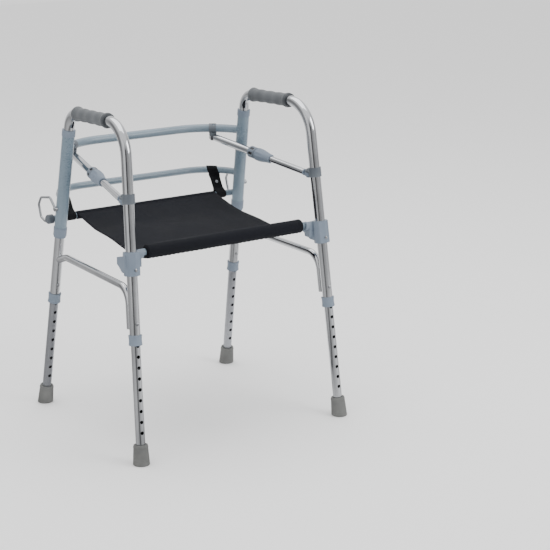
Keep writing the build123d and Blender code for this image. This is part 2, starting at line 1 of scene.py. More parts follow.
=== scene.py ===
import json
import math
import bpy
import numpy as np
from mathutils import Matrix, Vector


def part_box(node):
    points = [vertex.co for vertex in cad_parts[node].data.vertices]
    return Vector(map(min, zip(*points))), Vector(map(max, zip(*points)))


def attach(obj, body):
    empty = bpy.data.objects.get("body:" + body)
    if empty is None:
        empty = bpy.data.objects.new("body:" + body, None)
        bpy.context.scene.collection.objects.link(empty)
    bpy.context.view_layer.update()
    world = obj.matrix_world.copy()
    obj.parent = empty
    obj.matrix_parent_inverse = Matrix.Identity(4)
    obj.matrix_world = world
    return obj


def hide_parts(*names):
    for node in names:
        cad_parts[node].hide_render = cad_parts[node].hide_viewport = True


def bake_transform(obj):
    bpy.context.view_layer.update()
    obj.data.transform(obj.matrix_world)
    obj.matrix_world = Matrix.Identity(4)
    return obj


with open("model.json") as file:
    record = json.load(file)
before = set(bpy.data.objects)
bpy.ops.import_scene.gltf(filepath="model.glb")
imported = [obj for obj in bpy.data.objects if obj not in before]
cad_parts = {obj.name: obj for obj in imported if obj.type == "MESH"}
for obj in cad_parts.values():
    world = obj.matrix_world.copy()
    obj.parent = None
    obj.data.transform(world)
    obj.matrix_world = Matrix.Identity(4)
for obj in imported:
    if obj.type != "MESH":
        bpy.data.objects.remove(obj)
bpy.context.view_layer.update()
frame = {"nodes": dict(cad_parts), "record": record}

nodes = frame["nodes"]
record = frame["record"]
joints = {joint["name"]: joint for joint in record["behaviour"]["joints"]}
mounts = {mount["name"]: mount for mount in record["mounts"]}


# ---- Chromed tubes ----
# The side frames, their low bars, the front sliding legs and the brace tubes are bent steel
# tube, polished and then chromed. Wiping leaves a thin haze and hair lines along them.

def node(tree, kind, sockets=None, **settings):
    """Adds a shader node; sockets gives each input a value, or an output to be linked from."""
    made = tree.nodes.new("ShaderNode" + kind)
    for label, value in settings.items():
        setattr(made, label, value)
    for key, value in (sockets or {}).items():
        if isinstance(value, bpy.types.NodeSocket):
            tree.links.new(value, made.inputs[key])
        else:
            made.inputs[key].default_value = value
    return made


def effect(name, inputs, outputs):
    """New node group with named inputs and outputs; gives the group and its two end nodes."""
    group = bpy.data.node_groups.new(name, "ShaderNodeTree")
    for label, kind, value in inputs:
        socket = group.interface.new_socket(label, in_out="INPUT", socket_type="NodeSocket" + kind)
        socket.default_value = value
    for label, kind in outputs:
        group.interface.new_socket(label, in_out="OUTPUT", socket_type="NodeSocket" + kind)
    return group, group.nodes.new("NodeGroupInput").outputs, group.nodes.new("NodeGroupOutput").inputs


def surface_finish():
    """Group for any hard surface: a cloudy mask shifts colour and roughness between two values,
    and a much finer grain, drawn out along Z by Draw, gives the bump."""
    white = (1, 1, 1, 1)
    group, given, out = effect(
        "surface_finish",
        [("Dark", "Color", white), ("Light", "Color", white), ("Cloud Scale", "Float", 12),
         ("Grain Scale", "Float", 900), ("Draw", "Vector", (1, 1, 1)), ("Smooth", "Float", 0.3),
         ("Rough", "Float", 0.5), ("Grain Depth", "Float", 0.00002)],
        [("Color", "Color"), ("Roughness", "Float"), ("Normal", "Vector")])
    place = node(group, "TexCoord").outputs["Object"]
    cloud = node(group, "TexNoise", {"Vector": place, "Scale": given["Cloud Scale"], "Detail": 5.0})
    drawn = node(group, "VectorMath", {0: place, 1: given["Draw"]}, operation="MULTIPLY")
    grain = node(group, "TexNoise", {"Vector": drawn.outputs[0], "Scale": given["Grain Scale"], "Detail": 2.0})
    share = node(group, "MapRange", {"Value": cloud.outputs["Fac"], "From Min": 0.32, "From Max": 0.68})
    speck = node(group, "MapRange", {"Value": grain.outputs["Fac"], "From Min": 0.35, "From Max": 0.65,
                                     "To Min": -0.18, "To Max": 0.18})
    both = node(group, "Math", {0: share.outputs[0], 1: speck.outputs[0]}, operation="ADD", use_clamp=True)
    colour = node(group, "Mix", {"Factor": both.outputs[0], "A": given["Dark"], "B": given["Light"]},
                  data_type="RGBA")
    for key, source in (("A", "Dark"), ("B", "Light")):
        socket = [s for s in colour.inputs if s.name == key and s.type == "RGBA"][0]
        group.links.new(given[source], socket)
    rough = node(group, "MapRange", {"Value": both.outputs[0], "To Min": given["Smooth"],
                                     "To Max": given["Rough"]})
    bump = node(group, "Bump", {"Height": grain.outputs["Fac"], "Distance": given["Grain Depth"]})
    group.links.new([s for s in colour.outputs if s.type == "RGBA"][0], out["Color"])
    group.links.new(rough.outputs[0], out["Roughness"])
    group.links.new(bump.outputs[0], out["Normal"])
    return group


finish_group = surface_finish()


def hard_material(name, dark, light, finish, **constants):
    """Material with the surface finish; constants go straight onto the shader's own sockets."""
    material = bpy.data.materials.new(name)
    material.use_nodes = True
    tree = material.node_tree
    shader = tree.nodes["Principled BSDF"]
    for label, value in constants.items():
        shader.inputs[label.replace("_", " ")].default_value = value
    placed = node(tree, "Group", node_tree=finish_group)
    for label, value in {"Dark": (*dark, 1), "Light": (*light, 1), **finish}.items():
        placed.inputs[label].default_value = value
    tree.links.new(placed.outputs["Color"], shader.inputs["Base Color"])
    tree.links.new(placed.outputs["Roughness"], shader.inputs["Roughness"])
    tree.links.new(placed.outputs["Normal"], shader.inputs["Normal"])
    return material


def paint(material, *starts):
    """Gives this material to every CAD node whose name starts with one of the words."""
    for name, piece in nodes.items():
        if name.startswith(starts):
            for held in piece.material_slots:
                held.link = "OBJECT"
                held.material = material


chrome = hard_material(
    "chrome", (0.50, 0.51, 0.53), (0.66, 0.67, 0.69),
    {"Cloud Scale": 9, "Grain Scale": 700, "Draw": (1, 1, 0.04), "Smooth": 0.05, "Rough": 0.16,
     "Grain Depth": 0.000004}, Metallic=1.0)
paint(chrome, "side_tube", "stretcher", "leg_front", "brace_outer", "brace_inner")


# ---- Aluminium sliding legs ----
# The rear sliding legs are drawn aluminium tube with a dull anodised skin, and a row of
# drilled holes for the snap buttons. Drawing leaves fine lines along the tube.

aluminium = hard_material(
    "anodised_aluminium", (0.30, 0.31, 0.335), (0.40, 0.41, 0.435),
    {"Cloud Scale": 14, "Grain Scale": 1300, "Draw": (1, 1, 0.03), "Smooth": 0.34, "Rough": 0.50,
     "Grain Depth": 0.00002}, Metallic=0.85)
paint(aluminium, "leg_rear")


# ---- Enamelled back frame ----
# Two bowed tubes are welded into the two sleeves, ground, and stoved in pale blue-grey
# enamel, with its slight orange peel. A bead of weld shows round each end of a bar.

enamel = hard_material(
    "blue_grey_enamel", (0.125, 0.172, 0.215), (0.175, 0.228, 0.275),
    {"Cloud Scale": 7, "Grain Scale": 260, "Smooth": 0.26, "Rough": 0.40, "Grain Depth": 0.00005},
    Coat_Weight=0.35, Coat_Roughness=0.12)
paint(enamel, "upper_back_bar", "lower_back_bar", "hinge_sleeve", "rear_seat_rod", "front_seat_rod")

SIDES = {"right": 1, "left": -1}


def leg_axis(end, side):
    """Foot point of a leg's axis, and how far the axis runs for each metre of height."""
    axis = np.array(joints[f"leg_height_{end}_{side}"]["axis"])
    return np.array(mounts[f"{end}_{side}_foot_face"]["pos_m"]), axis / axis[2]


def on_leg(end, side, height):
    """Point of a leg's axis at a height."""
    foot, rise = leg_axis(end, side)
    return foot + rise * height


def unit(vector):
    """The vector at a length of one."""
    return vector / np.linalg.norm(vector, axis=-1, keepdims=True)


def skin(name, points, material, body, around=True, looped=False, capped=False, uv=None):
    """Object whose mesh is a grid of points, rows by columns. Columns close into rings if around,
    rows close on themselves if looped, and capped fans the first and last row to a pole each.
    uv gives one more row or column than the points where the grid closes."""
    rows, columns = points.shape[:2]
    r, c = np.meshgrid(np.arange(rows if looped else rows - 1),
                       np.arange(columns if around else columns - 1), indexing="ij")
    corners = [(r, c), (r, c + 1), (r + 1, c + 1), (r + 1, c)]
    faces = np.stack([(a % rows) * columns + b % columns for a, b in corners], -1).reshape(-1, 4)
    vertices = points.reshape(-1, 3)
    polygons = faces.tolist()
    if capped:
        poles = [points[0].mean(axis=0), points[-1].mean(axis=0)]
        ring = np.arange(columns)
        beside = np.roll(ring, -1)
        first, last, top = len(vertices), len(vertices) + 1, (rows - 1) * columns
        vertices = np.vstack([vertices, poles])
        polygons += [[first, int(b), int(a)] for a, b in zip(ring, beside)]
        polygons += [[last, int(top + a), int(top + b)] for a, b in zip(ring, beside)]
    mesh = bpy.data.meshes.new(name)
    mesh.from_pydata(vertices, [], polygons)
    if uv is not None:
        loops = np.stack([uv[a, b] for a, b in corners], -2).reshape(-1, 2)
        spare = len(mesh.loops) - len(loops)
        layer = mesh.uv_layers.new(name="UVMap")
        layer.data.foreach_set("uv", np.vstack([loops, np.zeros((spare, 2))]).ravel())
    mesh.polygons.foreach_set("use_smooth", np.ones(len(mesh.polygons), dtype=bool))
    mesh.materials.append(material)
    piece = bpy.data.objects.new(name, mesh)
    bpy.context.scene.collection.objects.link(piece)
    if body:
        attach(piece, body)
    return piece


def bridge(piece):
    """Bakes a piece of the seat's placing into its mesh."""
    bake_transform(piece)


sleeve_radius = 0.01515
weld_bead = 0.0016
for bar, height, radius, bow, run in (("upper", 0.666, 0.0105, 0.095, 0.135), ("lower", 0.550, 0.0088, 0.0975, 0.104)):
    for side, sign in SIDES.items():
        # The bar's end stands at an angle to X; the bead lies where its round wall meets the sleeve's.
        end_turn = 2 * math.atan2(bow, run)
        out = np.array([-sign * math.cos(end_turn), math.sin(end_turn), 0.0])
        across = np.cross(out, [0, 0, 1.0])
        around_bar = np.linspace(0, 2 * np.pi, 72, endpoint=False)
        around_bead = np.linspace(0, 2 * np.pi, 10, endpoint=False)
        size = weld_bead * (1 + 0.18 * np.sin(19 * around_bar))[:, None]
        reach = radius + size * np.cos(around_bead)
        aside = reach * np.cos(around_bar)[:, None]
        forward = np.sqrt(np.maximum(sleeve_radius**2 - aside**2, 0)) + size * np.sin(around_bead)
        up = reach * np.sin(around_bar)[:, None]
        centre = on_leg("rear", side, height + up.ravel()[0] * 0)
        lean = leg_axis("rear", side)[1]
        bead = centre + aside[..., None] * across + forward[..., None] * out + up[..., None] * lean
        skin(f"weld_bead_{bar}_{side}", bead, enamel, "back_frame", looped=True)


# ---- Moulded fittings ----
# Sleeve bushes, leg collars, seat clamps, brackets, knobs and plugs are injection moulded
# in blue-grey plastic with a fine spark-eroded texture.

plastic = hard_material(
    "blue_grey_plastic", (0.135, 0.170, 0.220), (0.175, 0.215, 0.270),
    {"Cloud Scale": 20, "Grain Scale": 1500, "Smooth": 0.42, "Rough": 0.56, "Grain Depth": 0.00004})
paint(plastic, "hinge_bushes", "stop_ring", "leg_collars", "seat_clamp", "brace_tip", "front_rod_plugs")
dark_plastic = hard_material(
    "dark_plastic", (0.045, 0.05, 0.056), (0.075, 0.082, 0.09),
    {"Cloud Scale": 24, "Grain Scale": 1500, "Smooth": 0.4, "Rough": 0.55, "Grain Depth": 0.00003})
paint(dark_plastic, "grip_ring")
bracket_plastic = hard_material(
    "bracket_plastic", (0.075, 0.088, 0.105), (0.115, 0.132, 0.152),
    {"Cloud Scale": 24, "Grain Scale": 1500, "Smooth": 0.4, "Rough": 0.55, "Grain Depth": 0.00003})
paint(bracket_plastic, "brace_brackets", "brace_lug", "rear_rod_knobs")


# ---- Small steel ----
# Bolts, screws, rivets, snap buttons and the two wire hooks are plain steel, zinc plated
# to a soft, slightly mottled grey.

zinc = hard_material(
    "zinc_plate", (0.30, 0.31, 0.33), (0.46, 0.47, 0.49),
    {"Cloud Scale": 60, "Grain Scale": 900, "Smooth": 0.24, "Rough": 0.42, "Grain Depth": 0.00002},
    Metallic=1.0)
paint(zinc, "brace_bolts", "rod_hooks", "hook_rivets", "strap_rivets", "clamp_screw", "snap_button")


# ---- Rubber feet ----
# Each foot is a moulded rubber cap pushed over the end of a leg: a bead round its mouth,
# fine grooves above a rounded heel, and a ringed tread under it.

rubber = hard_material(
    "grey_rubber", (0.095, 0.097, 0.094), (0.145, 0.147, 0.142),
    {"Cloud Scale": 26, "Grain Scale": 1100, "Smooth": 0.66, "Rough": 0.84, "Grain Depth": 0.00006})

foot_height = 0.047
foot_bore = 0.0111
foot_floor = 0.012


def foot_profile():
    """Height and radius from the middle of the tread, out, up the wall, over the mouth and down
    the bore. The wall narrows evenly, less three round grooves and plus a bead at the mouth."""
    tread = [(0.0012, 0.002), (0.0012, 0.006), (0, 0.007), (0, 0.0105), (0.0012, 0.0112), (0.0012, 0.0145),
             (0, 0.0152), (0, 0.0180)]
    heel = [(0.0018 * (1 - math.cos(a)), 0.0180 + 0.0018 * math.sin(a)) for a in np.linspace(0.2, 1.57, 7)]
    rise = np.linspace(0.0022, foot_height - 0.0035, 90)
    wall = 0.0198 - 0.0032 * (rise / foot_height) ** 1.15
    for groove in (0.0085, 0.0125, 0.0165):
        wall -= 0.00055 * np.exp(-((rise - groove) / 0.0007) ** 2)
    wall += 0.0007 * np.exp(-((rise - foot_height + 0.0055) / 0.0018) ** 2)
    mouth = [(foot_height - 0.0028 + 0.0028 * math.sin(a), 0.0150 + 0.0018 * math.cos(a))
             for a in np.linspace(0.1, 1.57, 7)]
    bore = [(foot_height, 0.0125), (foot_height - 0.0008, foot_bore), (foot_floor, foot_bore), (foot_floor, 0.003)]
    return np.array(tread + heel + list(zip(rise, wall)) + mouth + bore)


def foot_points(end, side, sides=72):
    """The profile turned about the leg's axis. Rings lie level at the floor and lean over to
    stand square to the leg at the mouth."""
    height, radius = foot_profile().T
    foot, rise = leg_axis(end, side)
    angle = np.linspace(0, 2 * np.pi, sides, endpoint=False)
    ring = np.stack([np.cos(angle), np.sin(angle), 0 * angle], -1)
    points = foot + height[:, None, None] * rise + radius[:, None, None] * ring
    lean = np.clip(height / foot_height, 0, 1)[:, None]
    points[..., 2] -= lean * radius[:, None] * (ring @ rise)[None, :]
    return points


for end in ("front", "rear"):
    for side in SIDES:
        boot = skin(f"rubber_foot_{end}_{side}", foot_points(end, side), rubber, f"leg_{end}_{side}",
                    capped=True)
        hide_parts(f"foot_{end}_{side}")


# ---- Hand grips ----
# A grip is a dipped vinyl sleeve, soft and matt, stretched over the crown of the tube:
# flared at both ends, with shallow finger waves and end beads.

vinyl = hard_material(
    "grip_vinyl", (0.060, 0.067, 0.074), (0.092, 0.100, 0.109),
    {"Cloud Scale": 18, "Grain Scale": 1400, "Smooth": 0.58, "Rough": 0.76, "Grain Depth": 0.00007},
    Sheen_Weight=0.12, Sheen_Roughness=0.5)

crown_front_height = 0.7745
crown_rear_height = 0.7635
grip_front_gap = 0.080
grip_length = 0.152
tube_radius = 0.01275


def turned(start, axis, along, radius, sides=96, dent=None):
    """Rings of the given radii at distances along an axis; dent, a function of distance and
    angle, is taken off the radius."""
    axis = unit(np.array(axis, dtype=float))
    first = unit(np.cross(axis, [0.0, 0.0, 1.0] if abs(axis[2]) < 0.8 else [0.0, 1.0, 0.0]))
    second = np.cross(axis, first)
    angle = np.linspace(0, 2 * np.pi, sides, endpoint=False)
    ring = np.cos(angle)[:, None] * first + np.sin(angle)[:, None] * second
    reach = np.repeat(np.asarray(radius)[:, None], sides, axis=1)
    if dent is not None:
        reach = reach - dent(np.asarray(along)[:, None], angle[None, :])
    return np.asarray(start) + np.asarray(along)[:, None, None] * axis + reach[..., None] * ring


def grip_profile():
    """Distance and radius of the grip's wall: a barrel with both ends flared by a sixth power,
    four cosine waves between them, a groove inside each flare and rounded lips."""
    share = np.linspace(0.0, 1.0, 150)
    swell = np.abs(2 * share - 1) ** 6
    wall = 0.0155 + 0.003 * swell + 0.0006 * np.cos(8 * np.pi * share) * (1 - swell)
    for groove in (0.075, 0.925):
        wall -= 0.0006 * np.exp(-((share - groove) / 0.009) ** 2)
    edge = np.clip(np.minimum(share, 1 - share) * grip_length / 0.0025, 0, 1)
    wall -= 0.0022 * (1 - np.sqrt(1 - (1 - edge) ** 2))
    inside = np.linspace(1.0, 0.0, 8)
    return (np.concatenate([share, inside]) * grip_length,
            np.concatenate([wall, np.full(8, tube_radius)]))


for side in SIDES:
    front = on_leg("front", side, crown_front_height)
    along_crown = unit(on_leg("rear", side, crown_rear_height) - front)
    grip_along, grip_wall = grip_profile()
    sleeve = turned(front + along_crown * grip_front_gap, along_crown, grip_along, grip_wall, sides=96)
    grip = skin(f"hand_grip_{side}", sleeve, vinyl, f"side_frame_{side}", looped=True)
    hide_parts(f"grip_{side}")


# ---- Brace locks and release rings ----
# Each brace is locked by a tapered moulded housing with flutes for the fingers. Behind it a
# sprung ring with six windows round it is pulled back to let the inner tube slide; the windows
# are darkened with painted shade.

lock_start = 0.171
lock_length = 0.050
lock_seat = 0.010
ring_start = 0.144
ring_length = 0.026
outer_tube_bore = 0.00956
inner_tube_bore = 0.00806


def smooth_step(value, low, high):
    """Rises from 0 at low to 1 at high with no corner at either."""
    share = np.clip((value - low) / (high - low), 0, 1)
    return share * share * (3 - 2 * share)


def band(value, low, high, edge):
    """1 between low and high, falling to 0 over edge on both sides."""
    return smooth_step(value, low, low + edge) * (1 - smooth_step(value, high - edge, high))


def flutes(along, angle):
    """Ten shallow hollows round the wide end of the lock."""
    return 0.0009 * (0.5 - 0.5 * np.cos(10 * angle)) * band(along, 0.002, 0.030, 0.006) * (along > 0)


def windows(along, angle):
    """Six deep windows round the middle of the ring."""
    open_share = smooth_step(np.cos(6 * angle), -0.15, 0.25)
    return 0.0024 * open_share * band(along, 0.006, 0.020, 0.0012)


ring_body = hard_material(
    "release_ring", (0.12, 0.145, 0.18), (0.165, 0.195, 0.235),
    {"Cloud Scale": 30, "Grain Scale": 1400, "Smooth": 0.36, "Rough": 0.5, "Grain Depth": 0.00003})
ring_tree = ring_body.node_tree
# The window mask mixes near-black painted shade into the ring's colour, darkest where each window is deepest.
painted_window_shade = node(ring_tree, "Attribute", attribute_name="window")
ring_shader = ring_tree.nodes["Principled BSDF"]
body_colour = ring_shader.inputs["Base Color"].links[0].from_socket
shaded = node(ring_tree, "MixRGB", {"Fac": painted_window_shade.outputs["Fac"], "Color1": body_colour,
                                    "Color2": (0.012, 0.013, 0.015, 1)})
ring_tree.links.new(shaded.outputs[0], ring_shader.inputs["Base Color"])

for side in SIDES:
    pivot = np.array(joints[f"brace_swing_{side}"]["pos_m"])
    down_brace = -np.array(joints[f"brace_slide_{side}"]["axis"])
    taper = np.linspace(0.0, lock_length, 70)
    lock_wall = 0.016 - 0.0045 * smooth_step(taper, 0.012, 0.047)
    lock_wall = lock_wall - 0.0012 * (1 - band(taper, -0.0001, lock_length + 0.0001, 0.002))
    lock_along = np.concatenate([taper, [lock_length, lock_seat, lock_seat, 0.0]])
    lock_radius = np.concatenate([lock_wall, [inner_tube_bore, inner_tube_bore, outer_tube_bore, outer_tube_bore]])
    bore_rows = len(taper)
    shell = turned(pivot + down_brace * lock_start, down_brace, lock_along, lock_radius, sides=120)
    fluted = turned(pivot + down_brace * lock_start, down_brace, lock_along, lock_radius, sides=120, dent=flutes)
    shell[:bore_rows] = fluted[:bore_rows]
    housing = skin(f"lock_housing_{side}", shell, plastic, f"brace_rear_{side}", looped=True)
    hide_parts(f"brace_lock_{side}")

    reach = np.linspace(0.0, ring_length, 60)
    ring_wall = 0.0148 - 0.0026 * (1 - band(reach, -0.0001, ring_length + 0.0001, 0.004))
    ring_along = np.concatenate([reach, [ring_length, 0.0]])
    ring_radius = np.concatenate([ring_wall, [outer_tube_bore, outer_tube_bore]])
    shell = turned(pivot + down_brace * ring_start, down_brace, ring_along, ring_radius, sides=144)
    cut = turned(pivot + down_brace * ring_start, down_brace, ring_along, ring_radius, sides=144, dent=windows)
    shell[:len(reach)] = cut[:len(reach)]
    ring = skin(f"release_ring_{side}", shell, ring_body, f"brace_release_{side}", looped=True)
    # Window depth, scaled to one, is stored as the mask of painted shade.
    depth = np.zeros(shell.shape[:2])
    angle = np.linspace(0, 2 * np.pi, 144, endpoint=False)
    depth[:len(reach)] = windows(reach[:, None], angle[None, :]) / 0.0024
    mask = ring.data.attributes.new("window", "FLOAT", "POINT")
    mask.data.foreach_set("value", smooth_step(depth, 0.3, 0.9).ravel().astype(np.float32))
    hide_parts(f"brace_release_ring_{side}")


# ---- Seat sling ----
# The seat is one cut of black woven nylon. It is turned over and sewn into a padded sleeve
# round the front rod and a plain one round the rear rod, and its side edges are hemmed.

def cloth_weave():
    """Group for woven cloth, read from a UV map in metres. Threads are the absolute sines of both
    coordinates, and the product of the two sines says which of them lies on top. The colour is
    painted lighter on the raised threads and darker between them, painted highlight and shade
    over a cloudy tone."""
    group, given, out = effect(
        "cloth_weave",
        [("Threads", "Float", 900.0), ("Dark", "Color", (0, 0, 0, 1)), ("Light", "Color", (1, 1, 1, 1)),
         ("Cloud Scale", "Float", 14.0), ("Depth", "Float", 0.0002)],
        [("Color", "Color"), ("Roughness", "Float"), ("Normal", "Vector")])
    place = node(group, "TexCoord")
    parts = node(group, "SeparateXYZ", {0: place.outputs["UV"]})
    waves = []
    turn = node(group, "Math", {0: given["Threads"], 1: math.pi}, operation="MULTIPLY")
    for axis in ("X", "Y"):
        phase = node(group, "Math", {0: parts.outputs[axis], 1: turn.outputs[0]}, operation="MULTIPLY")
        waves.append(node(group, "Math", {0: phase.outputs[0]}, operation="SINE").outputs[0])
    ridges = [node(group, "Math", {0: wave}, operation="ABSOLUTE").outputs[0] for wave in waves]
    product = node(group, "Math", {0: waves[0], 1: waves[1]}, operation="MULTIPLY")
    over = node(group, "MapRange", {"Value": product.outputs[0], "From Min": -0.15, "From Max": 0.15})
    first = node(group, "Math", {0: ridges[0], 1: over.outputs[0]}, operation="MULTIPLY")
    rest = node(group, "Math", {0: 1.0, 1: over.outputs[0]}, operation="SUBTRACT")
    second = node(group, "Math", {0: ridges[1], 1: rest.outputs[0]}, operation="MULTIPLY")
    height = node(group, "Math", {0: first.outputs[0], 1: second.outputs[0]}, operation="ADD")
    cloud = node(group, "TexNoise", {"Vector": place.outputs["Object"], "Scale": given["Cloud Scale"],
                                     "Detail": 6.0})
    lint = node(group, "TexNoise", {"Vector": place.outputs["Object"], "Scale": 380.0, "Detail": 2.0})
    shade = node(group, "Math", {0: cloud.outputs["Fac"], 1: lint.outputs["Fac"]}, operation="ADD")
    worn = node(group, "MapRange", {"Value": shade.outputs[0], "From Min": 0.75, "From Max": 1.25})
    # Thread height lightens the colour: painted highlight on the raised threads, painted shade in the dips between
    # them.
    thread = node(group, "Math", {0: height.outputs[0], 1: 0.45}, operation="MULTIPLY")
    tone_and_painted_thread_light = node(group, "Math", {0: worn.outputs[0], 1: thread.outputs[0]}, operation="MULTIPLY_ADD")
    tone_and_painted_thread_light.inputs[1].default_value = 0.55
    group.links.new(thread.outputs[0], tone_and_painted_thread_light.inputs[2])
    colour = node(group, "MixRGB", {"Fac": tone_and_painted_thread_light.outputs[0], "Color1": given["Dark"], "Color2": given["Light"]})
    rough = node(group, "MapRange", {"Value": worn.outputs[0], "To Min": 0.72, "To Max": 0.9})
    bump = node(group, "Bump", {"Height": height.outputs[0], "Distance": given["Depth"]})
    group.links.new(colour.outputs[0], out["Color"])
    group.links.new(rough.outputs[0], out["Roughness"])
    group.links.new(bump.outputs[0], out["Normal"])
    return group


weave_group = cloth_weave()


def cloth_material(name, dark, light, weave, **constants):
    """Woven material; constants go straight onto the shader's own sockets."""
    material = bpy.data.materials.new(name)
    material.use_nodes = True
    tree = material.node_tree
    shader = tree.nodes["Principled BSDF"]
    for label, value in constants.items():
        shader.inputs[label.replace("_", " ")].default_value = value
    placed = node(tree, "Group", node_tree=weave_group)
    for label, value in {"Dark": (*dark, 1), "Light": (*light, 1), **weave}.items():
        placed.inputs[label].default_value = value
    for label, socket in (("Color", "Base Color"), ("Roughness", "Roughness"), ("Normal", "Normal")):
        tree.links.new(placed.outputs[label], shader.inputs[socket])
    return material


nylon = cloth_material(
    "black_nylon", (0.003, 0.0034, 0.005), (0.013, 0.0145, 0.021),
    {"Threads": 820.0, "Cloud Scale": 9.0, "Depth": 0.00025}, Specular_IOR_Level=0.12, Sheen_Weight=0.02)
thread = hard_material(
    "sewing_thread", (0.010, 0.011, 0.014), (0.028, 0.030, 0.036),
    {"Cloud Scale": 300, "Grain Scale": 2500, "Smooth": 0.6, "Rough": 0.8, "Grain Depth": 0.00003})


def middle(name):
    """Middle point of a CAD node's box."""
    low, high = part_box(name)
    return (np.array(low) + np.array(high)) / 2


front_rod = middle("front_seat_rod")
rear_rod = middle("rear_seat_rod")
sling_low, sling_high = (np.array(corner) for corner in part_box("seat_sling"))
front_half = sling_high[0]
rear_half = 0.2029
rod_gap = 0.00835
rear_hem = 0.01025
front_hem = front_rod[2] - sling_low[2]
cloth_thickness = 0.0017
front_edge_rise = 0.0024


def sheet_rest(columns=73, rows=61):
    """Flat sheet from under the front hem to the top of the rear one. Its side edges draw in
    by a half sine."""
    u, v = np.meshgrid(np.linspace(-1, 1, columns), np.linspace(0, 1, rows))
    half = front_half + (rear_half - front_half) * v - 0.006 * np.sin(np.pi * v)
    y = front_rod[1] + (rear_rod[1] - front_rod[1]) * v
    front_z = front_rod[2] - front_hem + front_edge_rise
    z = front_z + (rear_rod[2] + rear_hem - cloth_thickness - front_z) * v
    return np.stack([u * half, y, z], -1), u, v


def settle(points, rows, columns):
    """Hangs the sheet from its front and rear rows by cloth simulation, and gives the settled
    points back. No point moves by more than the cap."""
    r, c = np.meshgrid(np.arange(rows - 1), np.arange(columns - 1), indexing="ij")
    faces = np.stack([r * columns + c, r * columns + c + 1, (r + 1) * columns + c + 1,
                      (r + 1) * columns + c], -1).reshape(-1, 4)
    mesh = bpy.data.meshes.new("settling")
    mesh.from_pydata(points.reshape(-1, 3), [], faces.tolist())
    hanging = bpy.data.objects.new("settling", mesh)
    bpy.context.scene.collection.objects.link(hanging)
    held = hanging.vertex_groups.new(name="held")
    held.add([*range(columns), *range((rows - 1) * columns, rows * columns)], 1.0, "REPLACE")
    cloth = hanging.modifiers.new("Cloth", "CLOTH")
    cloth.settings.quality = 8
    cloth.settings.mass = 0.12
    cloth.settings.tension_stiffness = 60
    cloth.settings.compression_stiffness = 30
    cloth.settings.shear_stiffness = 20
    cloth.settings.bending_stiffness = 1.5
    cloth.settings.air_damping = 4
    cloth.settings.shrink_min = -0.004
    cloth.settings.vertex_group_mass = "held"
    for step in range(1, 26):
        bpy.context.scene.frame_set(step)
    shown = hanging.evaluated_get(bpy.context.evaluated_depsgraph_get()).to_mesh()
    moved = np.empty(len(shown.vertices) * 3)
    shown.vertices.foreach_get("co", moved)
    bpy.context.scene.frame_set(1)
    bpy.data.objects.remove(hanging)
    shift = moved.reshape(points.shape) - points
    cap = 0.014
    far = np.maximum(np.linalg.norm(shift, axis=-1, keepdims=True), cap)
    return points + shift * (cap / far)


flat_sheet, sheet_u, sheet_v = sheet_rest()
rows, columns = sheet_u.shape
flat_sheet = settle(flat_sheet, rows, columns)
pull = np.sin(np.pi * sheet_v)
flat_sheet[..., 2] += 0.0009 * pull * np.sin(5.2 * np.pi * sheet_v + 1.1 * np.sin(2.6 * sheet_u))
flat_sheet[..., 2] += 0.0006 * pull * np.sin(19 * sheet_u + 3.0 * sheet_v) * np.abs(sheet_u) ** 2
sheet_uv = np.stack([sheet_u * front_half, sheet_v * (rear_rod[1] - front_rod[1])], -1)
seat = skin("seat_sheet", flat_sheet, nylon, None, around=False, uv=sheet_uv)
thick = seat.modifiers.new("Thickness", "SOLIDIFY")
thick.thickness = cloth_thickness
thick.offset = -1
bridge(seat)
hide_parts("seat_sling")


def hem(name, rod, half, radius, pucker, body, end_pull):
    """Sleeve of cloth round a seat rod. Its radius puckers between the stitches at the seam, and
    its ends close inwards to the rod; a second wall runs back along the rod."""
    across = np.linspace(-half, half, 220)
    lip = np.clip((half - np.abs(across)) / 0.005, 0, 1)
    wall = radius - (radius - rod_gap) * end_pull * (1 - np.sqrt(1 - (1 - lip) ** 2))
    inner = np.linspace(half, -half, 12)
    along = np.concatenate([across, inner])
    reach = np.concatenate([wall, np.full(12, rod_gap)])

    def dent(place, angle):
        """Puckers fade away from the seam, which lies at the rear of the sleeve."""
        near = smooth_step(np.cos(angle - seam_angle), 0.2, 1.0)
        ripple = pucker * near * np.sin(2 * np.pi * place / 0.0115 + 1.7 * np.sin(place * 31))
        loose = 0.5 * pucker * np.sin(place * 47 + 2 * angle) * np.cos(place * 13)
        return ripple + loose

    seam_angle = np.pi / 2
    start = np.array([0.0, rod[1], rod[2]])
    shell = turned(start, (1, 0, 0), along, reach, sides=64)
    soft = turned(start, (1, 0, 0), along, reach, sides=64, dent=dent)
    shell[4:len(across) - 4] = soft[4:len(across) - 4]
    uv_along, uv_round = np.meshgrid(np.append(along, along[0]), np.linspace(0, 2 * np.pi * radius, 65), indexing="ij")
    sleeve = skin(name, shell, nylon, body, looped=True, uv=np.stack([uv_along, uv_round], -1))
    return sleeve


front_sleeve = hem("front_hem", front_rod, front_half, front_hem, 0.0005, "front_rod", 0.75)
rear_sleeve = hem("rear_hem", rear_rod, rear_half, rear_hem, 0.0003, "back_frame", 0.9)


